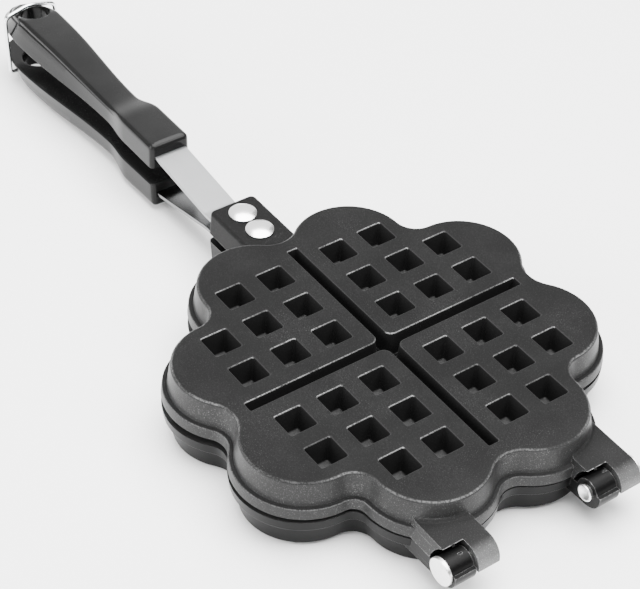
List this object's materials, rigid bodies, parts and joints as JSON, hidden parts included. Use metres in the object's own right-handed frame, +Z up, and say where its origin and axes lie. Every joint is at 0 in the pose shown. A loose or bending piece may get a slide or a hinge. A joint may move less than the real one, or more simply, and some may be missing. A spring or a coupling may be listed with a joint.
{
  "type": "stovetop waffle iron",
  "caption": "Hinged stovetop waffle iron: flower-shaped cast pans with hollow pegs that mould heart waffles, steel straps, moulded grips and a wire bail.",
  "frame": {"origin": "middle of the bounding box's bottom, on the bench", "axes": "+X runs from the grips to the hinges, +Z is up, +Y is across, along the hinge line"},
  "size_m": [0.4172, 0.174, 0.0422],
  "materials": {
    "dark_casting": "fine-grained dark non-stick coat over die-cast aluminium, worn bright at the edges",
    "black_casting": "smooth black coat over die-cast aluminium",
    "satin_steel": "satin rolled strip",
    "phenolic": "glossy black moulded phenolic",
    "aluminium": "bright headed rivet",
    "bright_wire": "bright drawn wire"
  },
  "bodies": {
    "lower_half": {"lower_pan": "black_casting", "lower_strap": "satin_steel", "lower_rivet_inner": "aluminium", "lower_rivet_outer": "aluminium", "lower_handle": "phenolic", "hinge_pin_left": "aluminium", "hinge_pin_right": "aluminium"},
    "upper_half": {"upper_pan": "dark_casting", "upper_strap": "satin_steel", "upper_rivet_inner": "aluminium", "upper_rivet_outer": "aluminium", "upper_handle": "phenolic"},
    "bail": {"bail": "bright_wire"}
  },
  "joints": [
    {"name": "pan_hinge", "type": "hinge", "parent": "lower_half", "child": "upper_half", "pos_m": [0.20138, 0, 0.01698], "axis": [0, 1, 0], "range_deg": [0, 178]},
    {"name": "bail_swing", "type": "hinge", "parent": "lower_half", "child": "bail", "pos_m": [-0.1895, 0, 0.00708], "axis": [0, -1, 0], "range_deg": [0, 100]}
  ]
}
